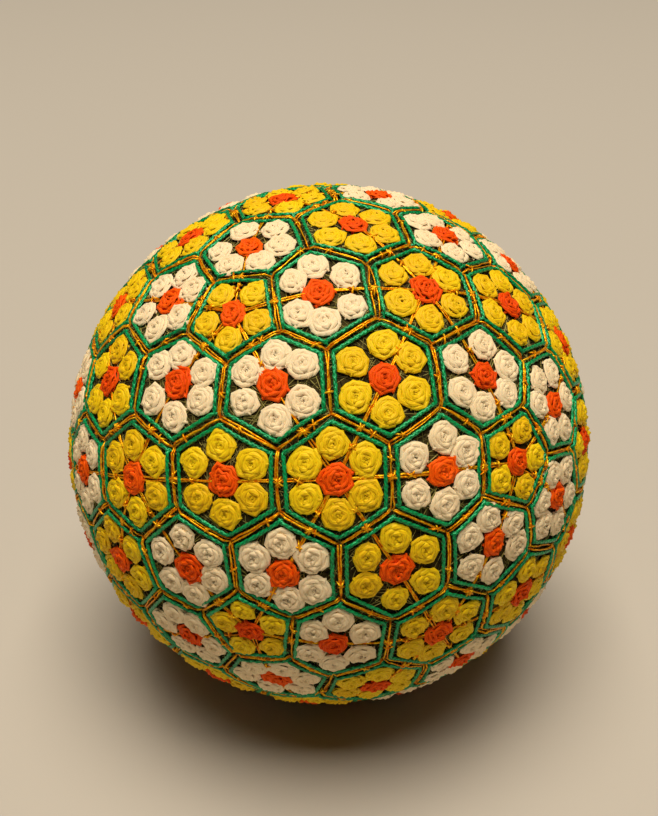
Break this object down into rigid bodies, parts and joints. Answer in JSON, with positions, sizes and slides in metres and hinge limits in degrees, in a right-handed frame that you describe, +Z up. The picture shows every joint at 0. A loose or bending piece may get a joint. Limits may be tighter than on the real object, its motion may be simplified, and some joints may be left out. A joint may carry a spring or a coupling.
{
  "type": "temari ball",
  "caption": "Round thread-wound decorative ball, stitched all over with outlined hexagonal flower cells of raised rosettes, with a small flat spot to rest on.",
  "frame": {"origin": "middle of the small flat spot on which the ball rests", "axes": "+Z up through the ball's centre, -Y towards the viewer of the picture, +X to the viewer's right"},
  "size_m": [0.12, 0.1198, 0.1181],
  "materials": {
    "yellow_thread": "soft twisted cotton",
    "white_thread": "soft twisted cotton",
    "orange_thread": "soft twisted cotton",
    "green_thread": "twisted cotton with a slight gloss",
    "gold_thread": "metallic wrapped thread",
    "wound_thread": "fine matt wound thread"
  },
  "bodies": {
    "root": {"stitched_ball": "yellow_thread"}
  },
  "joints": []
}
